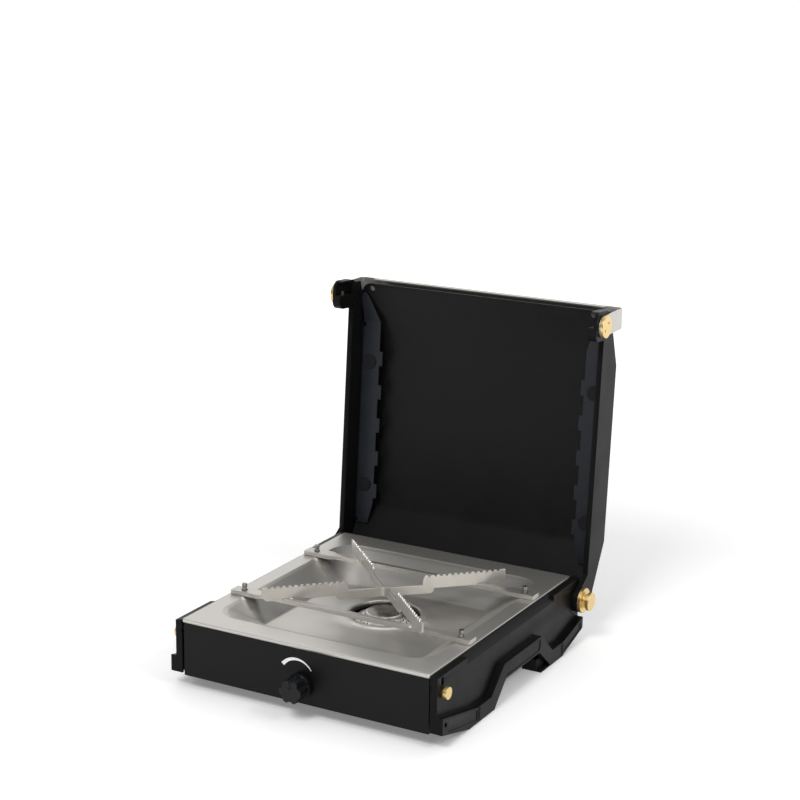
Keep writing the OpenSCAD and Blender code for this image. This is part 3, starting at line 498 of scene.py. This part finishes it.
@dataclass
class SupportArms:
    """Two V-shaped toothed arms of the pot support, back to back over the burner."""

    layout: Layout
    length: float = 118 * MM
    thickness: float = 1.8 * MM
    strip_height: float = 8.9 * MM
    strip_drop: float = 1.4 * MM
    strip_to: float = 48 * MM
    blade_height: float = 13.3 * MM
    blade_from: float = 37 * MM
    bend: float = 7 * MM
    pitch: float = 5.6 * MM
    teeth: int = 13
    tooth_depth: float = 1.9 * MM
    edge: float = 0.25 * MM
    step: float = 0.28 * MM
    half_notch: float = 5.4 * MM
    first_tooth: float = 7 * MM
    tip_bevel: float = 4 * MM

    def outline(self, along: Points, bar_at: float) -> tuple[Points, Points]:
        """Lower and upper edge of an arm.

        Args:
            along: distances from the middle of the pot support.
            bar_at: distance at which the arm crosses its bar.

        Returns:
            Heights of the lower and of the upper edge.
        """
        bar_low, bar_high = (corner.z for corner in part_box("front_bar"))
        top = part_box("front_arms")[1].z
        blade_low = top - self.blade_height
        strip_low = bar_low - self.strip_drop
        round_in, round_out = 6 * MM, 4 * MM
        rise = round_in - np.sqrt(np.clip(round_in ** 2 - (self.blade_from + round_in - along) ** 2, 0, None))
        upper = np.where(along < self.blade_from, strip_low + self.strip_height,
                         np.where(along < self.blade_from + round_in, top - rise, top))
        first = self.length - self.first_tooth
        nearest = np.clip(np.round((first - along) / self.pitch), 0, self.teeth - 1)
        off = np.abs(along - (first - nearest * self.pitch))
        upper = upper - self.tooth_depth * np.clip((1.75 * MM - off) / (1.25 * MM), 0, 1)
        lift = round_out - np.sqrt(np.clip(round_out ** 2 - (along - self.strip_to + round_out) ** 2, 0, None))
        lower = np.where(along < self.strip_to - round_out, strip_low,
                         np.where(along < self.strip_to, strip_low + lift, blade_low))
        lower = np.maximum(lower, blade_low + (along - self.length + self.tip_bevel))
        in_notch = np.abs(along - bar_at) < self.half_notch
        lower = np.where(in_notch, np.maximum(lower, bar_high), lower)
        return lower, upper

    def pair(self, toward: int) -> bpy.types.Mesh:
        """One V of two arms, as a strip swept along a path with a small bend in its middle.

        The path's direction turns evenly from -45 to 45 degrees over the bend. At each place the
        strip's section is a rectangle with bevelled corners between the outline's two edges.

        Args:
            toward: -1 for the front pair and 1 for the rear pair.

        Returns:
            The mesh.
        """
        quarter = math.pi / 4
        middle_y = self.layout.burner.y
        outer = self.thickness / 2
        apex_y = middle_y + toward * (outer - self.bend * (math.sqrt(2) - 1))
        bar_low, bar_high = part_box("front_bar" if toward < 0 else "rear_bar")
        bar_at = abs((bar_low.y + bar_high.y) / 2 - apex_y) * math.sqrt(2)
        jumps = np.array([self.blade_from, self.strip_to, bar_at - self.half_notch, bar_at + self.half_notch])
        hair = 0.01 * MM
        half = np.unique(np.concatenate([np.arange(0, self.length, self.step), jumps - hair, jumps + hair,
                                         [self.length]]))
        place = np.concatenate([-half[:0:-1], half])
        along = np.abs(place)
        turn = np.clip(place / self.bend, -1, 1) * quarter
        lead = np.maximum(along - self.bend, 0) * np.sign(place)
        centre_y = apex_y + toward * self.bend * math.sqrt(2)
        x = self.bend * np.sin(turn) + lead * np.cos(turn)
        y = centre_y - toward * self.bend * np.cos(turn) + toward * lead * np.sin(turn)
        normal = np.stack([-toward * np.sin(turn), np.cos(turn)], axis=1)
        lower, upper = self.outline(along, bar_at)
        sides = [(-1, 1, lower, 0), (1, 1, lower, 0), (1, 0, lower, 1), (1, 0, upper, -1), (1, 1, upper, 0),
                 (-1, 1, upper, 0), (-1, 0, upper, -1), (-1, 0, lower, 1)]
        columns = []
        for side, inset, height, raised in sides:
            offset = side * (outer - inset * self.edge)
            columns.append(np.column_stack([x + normal[:, 0] * offset, y + normal[:, 1] * offset,
                                            height + raised * self.edge]))
        return mesh_from_grid("arm", np.stack(columns, axis=1), caps=True)

    def beads(self, toward: int) -> list[bpy.types.Mesh]:
        """Small weld beads where a pair of arms crosses its bar, as squashed uneven balls."""
        low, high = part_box("front_bar" if toward < 0 else "rear_bar")
        y = (low.y + high.y) / 2
        reach = abs(y - self.layout.burner.y) + self.bend * 0.1
        meshes = []
        profile = [(math.sin(a), -math.cos(a)) for a in np.linspace(0.06, math.pi - 0.06, 9)]
        ball = ring_turned(profile, np.linspace(0, 2 * math.pi, 16, endpoint=False))
        for side in (-1, 1):
            for face in (-1, 1):
                centre = np.array([side * reach + face * 2.2 * MM, y + face * 2.6 * MM, high.z - 0.6 * MM])
                wobble = 1 + 0.12 * np.sin(ball[..., :1] * 5 + side + face) * np.cos(ball[..., 1:2] * 4)
                size = np.array([2.3, 1.5, 1.3]) * MM
                meshes.append(mesh_from_grid("bead", ball * wobble * size + centre, caps=True))
        return meshes

    def build(self) -> list[bpy.types.Object]:
        """Makes the front and the rear pair."""
        made = []
        for node, toward in (("front_arms", -1), ("rear_arms", 1)):
            piece = new_piece(node + "_v", joined(node + "_shape", [self.pair(toward), *self.beads(toward)]))
            piece.data.shade_smooth()
            piece.data.set_sharp_from_angle(angle=BEVEL_ANGLE)
            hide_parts(node)
            made.append(finish_piece(piece, SUPPORT_STEEL, "support_stainless", "pot_support"))
        return made


@dataclass
class PortRing:
    """Conical rim of the burner with two rows of flame ports round it."""

    layout: Layout
    rim: float = 28 * MM
    rows: tuple[float, float] = (25.9 * MM, 22.3 * MM)
    row_width: float = 3.6 * MM
    count: int = 36
    hole: float = 0.95 * MM
    wall: float = 1.2 * MM
    slope: float = math.atan(0.5)

    def height(self, radius: float) -> float:
        """Height of the cone's surface at a radius."""
        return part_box("burner_port_ring")[0].z + 2 * MM + (self.rim - radius) * math.tan(self.slope)

    def ports(self, radius: float) -> Iterable[bpy.types.Mesh]:
        """A row of square patches of the cone, each with a round port through it.

        A patch's points lie on four rings round its middle: the square's edge, the port's bevelled edge,
        and the port's wall at two depths.

        Args:
            radius: radius of the row's middle line.

        Yields:
            One mesh for each port.
        """
        turn = np.arange(16) * math.pi / 8
        circle = np.stack([np.cos(turn), np.sin(turn)], axis=1)
        square = circle / np.abs(circle).max(axis=1, keepdims=True)
        pitch = 2 * math.pi / self.count
        half = np.array([radius * pitch / 2, self.row_width / 2 / math.cos(self.slope)])
        rings = [(square, 0.0), (circle * (self.hole + 0.15 * MM) / half, 0.0),
                 (circle * self.hole / half, 0.15 * MM), (circle * self.hole / half, self.wall)]
        for index in range(self.count):
            points = []
            for flat, depth in rings:
                angle = (index + flat[:, 0] / 2) * pitch
                out = flat[:, 1] * half[1]
                reach = radius + out * math.cos(self.slope) - depth * math.sin(self.slope)
                level = self.height(radius) - out * math.sin(self.slope) - depth * math.cos(self.slope)
                points.append(np.column_stack([reach * np.cos(angle), reach * np.sin(angle), level]))
            yield mesh_from_grid("port", np.stack(points))

    def build(self) -> list[bpy.types.Object]:
        """Makes the rim."""
        angles = np.concatenate([(index + np.array([-0.5, -0.2071, 0, 0.2071])) * 2 * math.pi / self.count
                                 for index in range(self.count)])
        edge_out = self.rows[0] + self.row_width / 2
        edge_in = self.rows[1] - self.row_width / 2
        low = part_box("burner_port_ring")[0].z
        outside = [(self.rim - 3 * MM, low), (self.rim - 0.5 * MM, low), (self.rim, low + 0.5 * MM),
                   (self.rim, self.height(self.rim) - 0.4 * MM),
                   (self.rim - 0.1 * MM, self.height(self.rim - 0.1 * MM)), (edge_out, self.height(edge_out))]
        inside = [(edge_in, self.height(edge_in)), (edge_in - 0.8 * MM, self.height(edge_in - 0.6 * MM)),
                  (self.rim - 11 * MM, self.height(edge_in - 0.6 * MM)),
                  (self.rim - 11 * MM, self.height(edge_in) - 1.2 * MM)]
        parts = [mesh_from_grid("rim", ring_turned(profile, angles)) for profile in (outside, inside)]
        parts += [port for row in self.rows for port in self.ports(row)]
        mesh = joined("burner_port_ring_shape", parts, PORT_MERGE_GAP)
        mesh.transform(Matrix.Translation((self.layout.burner.x, self.layout.burner.y, 0)))
        piece = new_piece("burner_port_ring_v", mesh)
        piece.data.shade_smooth()
        piece.data.set_sharp_from_angle(angle=BEVEL_ANGLE)
        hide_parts("burner_port_ring")
        return [finish_piece(piece, BURNER_STEEL, "burner_steel", "housing")]


@dataclass
class Copies:
    """CAD nodes shown in their own shape, with rounded edges and a finish."""

    finish: Finish
    slot: str
    radius: float
    nodes: tuple[str, ...]

    def build(self) -> list[bpy.types.Object]:
        """Makes one rounded copy for each node."""
        return [rounded_copy(node, self.finish, self.slot, self.radius) for node in self.nodes]


def copy_groups() -> list[Copies]:
    """The nodes that keep their CAD shape, by finish."""
    return [
        Copies(POWDER, "powder_black", 0.5 * MM, ("base_pan",)),
        Copies(MOULDED, "moulded_black", 0.45 * MM, ("left_side_cover", "right_side_cover")),
        Copies(RUBBER, "foot_rubber", 0.5 * MM, ("foot_pads", "lid_bumpers")),
        Copies(ZINC, "zinc_steel", 0.2 * MM, ("cover_screws", "burner_screws", "burner_bracket", "valve_nut",
                                             "inlet_nut", "valve_spindle")),
        Copies(BURNER_STEEL, "burner_steel", 0.15 * MM, ("burner_body", "burner_cap", "mixing_tube")),
        Copies(BRASS, "brass", 0.3 * MM, ("gas_jet", "valve_body", "gas_inlet", "left_lock_stud",
                                         "right_lock_stud", "left_hinge_pin", "right_hinge_pin",
                                         "left_handle_pin", "right_handle_pin")),
        Copies(COPPER, "pipe_copper", 0.0, ("gas_pipe",)),
        Copies(WHITE_PRINT, "mark_white", 0.0, ("dial_mark",)),
        Copies(KNOB_PLASTIC, "knob_black", 0.6 * MM, ("control_knob",)),
        Copies(SUPPORT_STEEL, "support_stainless", 0.4 * MM, ("front_bar", "rear_bar")),
        Copies(POWDER, "powder_black", 0.35 * MM, ("lid_panel",)),
        # Flanges: the same black powder coat as the lid panel, with painted light making it lighter and bluer.
        Copies(POWDER_PAINTED_LIGHT, "powder_blue_black", 0.35 * MM, ("left_lid_flange", "right_lid_flange")),
        Copies(MOULDED, "moulded_black", 0.6 * MM, ("left_lid_frame", "right_lid_frame")),
        Copies(MOULDED, "moulded_black", 0.2 * MM, ("left_lid_bracket", "right_lid_bracket")),
        Copies(DARK_RIVET, "rivet_black", 0.2 * MM, ("flange_rivets",)),
        Copies(HANDLE_STEEL, "handle_stainless", 0.3 * MM, ("carry_handle",)),
    ]


# ---------------------------------------------------------------- studio


@dataclass
class Studio:
    """Floor, lights and camera round the stove."""

    floor_half: float = 9.0
    world_level: float = 1.0
    front_level: float = 0.22
    overhead_share: float = 0.62
    camera_at: tuple[float, float, float] = (0.8158, -1.46785, 0.6866)
    camera_aim: tuple[float, float, float] = (0.0, 0.00635, 0.248)
    roll: float = math.radians(0.79)
    lens: float = 85.7
    key_at: tuple[float, float, float] = (0.1, -1.6, 2.0)
    key_size: float = 0.7
    key_watts: float = 24
    side_at: tuple[float, float, float] = (1.7, -0.2, 1.3)
    side_size: float = 0.9
    side_watts: float = 26
    flag_at: tuple[float, float, float] = (1.5, 0.2, 0.6)
    flag_half: tuple[float, float] = (1.3, 0.75)

    def floor(self) -> None:
        """A plain pale floor under the feet."""
        corner = self.floor_half
        mesh = bpy.data.meshes.new("floor_shape")
        corners = [(-corner, -corner, 0), (corner, -corner, 0), (corner, corner, 0), (-corner, corner, 0)]
        mesh.from_pydata(corners, [], [(0, 1, 2, 3)])
        piece = new_piece("floor", mesh)
        mesh.materials.append(PAPER.material())

    def world(self) -> None:
        """White surroundings, dimmer towards the front and low down."""
        world = bpy.data.worlds.new("studio")
        world.use_nodes = True
        nodes, links = world.node_tree.nodes, world.node_tree.links
        place = nodes.new("ShaderNodeTexCoord")
        split = nodes.new("ShaderNodeSeparateXYZ")
        links.new(place.outputs["Generated"], split.inputs[0])
        shares = []
        for axis, low, high in (("Y", -0.2, 0.5), ("Z", 0.35, 0.9)):
            ramp = nodes.new("ShaderNodeMapRange")
            ramp.inputs["From Min"].default_value = low
            ramp.inputs["From Max"].default_value = high
            ramp.inputs["To Max"].default_value = self.overhead_share if axis == "Z" else 1.0
            links.new(split.outputs[axis], ramp.inputs["Value"])
            shares.append(ramp.outputs[0])
        most = nodes.new("ShaderNodeMath")
        most.operation = "MAXIMUM"
        level = nodes.new("ShaderNodeMapRange")
        level.inputs["To Min"].default_value = self.front_level
        level.inputs["To Max"].default_value = self.world_level
        for place_in, share in enumerate(shares):
            links.new(share, most.inputs[place_in])
        links.new(most.outputs[0], level.inputs["Value"])
        backdrop = nodes["Background"]
        backdrop.inputs[0].default_value = (1.0, 1.0, 1.0, 1.0)
        links.new(level.outputs[0], backdrop.inputs[1])
        bpy.context.scene.world = world

    def light(self, name: str, at: Sequence[float], size: float, watts: float) -> None:
        """A square soft light that faces the stove's middle."""
        lamp = bpy.data.lights.new(name, "AREA")
        lamp.size = size
        lamp.energy = watts
        holder = bpy.data.objects.new(name, lamp)
        bpy.context.scene.collection.objects.link(holder)
        holder.location = at
        holder.rotation_euler = (Vector((0, 0, 0.15)) - Vector(at)).to_track_quat("-Z", "Y").to_euler()

    def flag(self, name: str, at: Sequence[float], half: tuple[float, float]) -> None:
        """An upright dark card that faces the stove and darkens what mirrors it.

        Args:
            name: the card's name.
            at: its middle.
            half: half its width and half its height.
        """
        facing = Vector((-at[0], -at[1], 0)).normalized()
        across = facing.cross(Vector((0, 0, 1))) * half[0]
        up = Vector((0, 0, half[1]))
        middle = Vector(at)
        corners = [middle - across - up, middle + across - up, middle + across + up, middle - across + up]
        mesh = bpy.data.meshes.new(name + "_shape")
        mesh.from_pydata([tuple(corner) for corner in corners], [], [(0, 1, 2, 3)])
        mesh.materials.append(RUBBER.material())
        new_piece(name, mesh)

    def camera(self) -> None:
        """Sets the scene camera at the viewing angle."""
        at = Vector(self.camera_at)
        forward = (Vector(self.camera_aim) - at).normalized()
        right = forward.cross(Vector((0, 0, 1))).normalized()
        up = right.cross(forward)
        turned_right = right * math.cos(self.roll) + up * math.sin(self.roll)
        turned_up = up * math.cos(self.roll) - right * math.sin(self.roll)
        data = bpy.data.cameras.new("camera")
        data.lens = self.lens
        data.sensor_width = 36
        data.dof.use_dof = False
        holder = bpy.data.objects.new("camera", data)
        bpy.context.scene.collection.objects.link(holder)
        turn = Matrix((turned_right, turned_up, -forward)).transposed().to_4x4()
        holder.matrix_world = Matrix.Translation(at) @ turn
        bpy.context.scene.camera = holder

    def build(self) -> None:
        """Sets up the studio."""
        bpy.context.scene.view_settings.view_transform = "Standard"
        self.floor()
        self.world()
        self.light("key", self.key_at, self.key_size, self.key_watts)
        self.light("side", self.side_at, self.side_size, self.side_watts)
        self.flag("right_flag", self.flag_at, self.flag_half)
        self.camera()


def main() -> None:
    """Builds and dresses the stove, then the studio."""
    logging.basicConfig(level=logging.INFO, format="%(message)s")
    layout = Layout()
    for part in [Tray(layout), SupportArms(layout), PortRing(layout), *copy_groups()]:
        for piece in part.build():
            log.info("%s: %d faces", piece.name, len(piece.data.polygons))
    Studio().build()


if __name__ == "__main__":
    main()
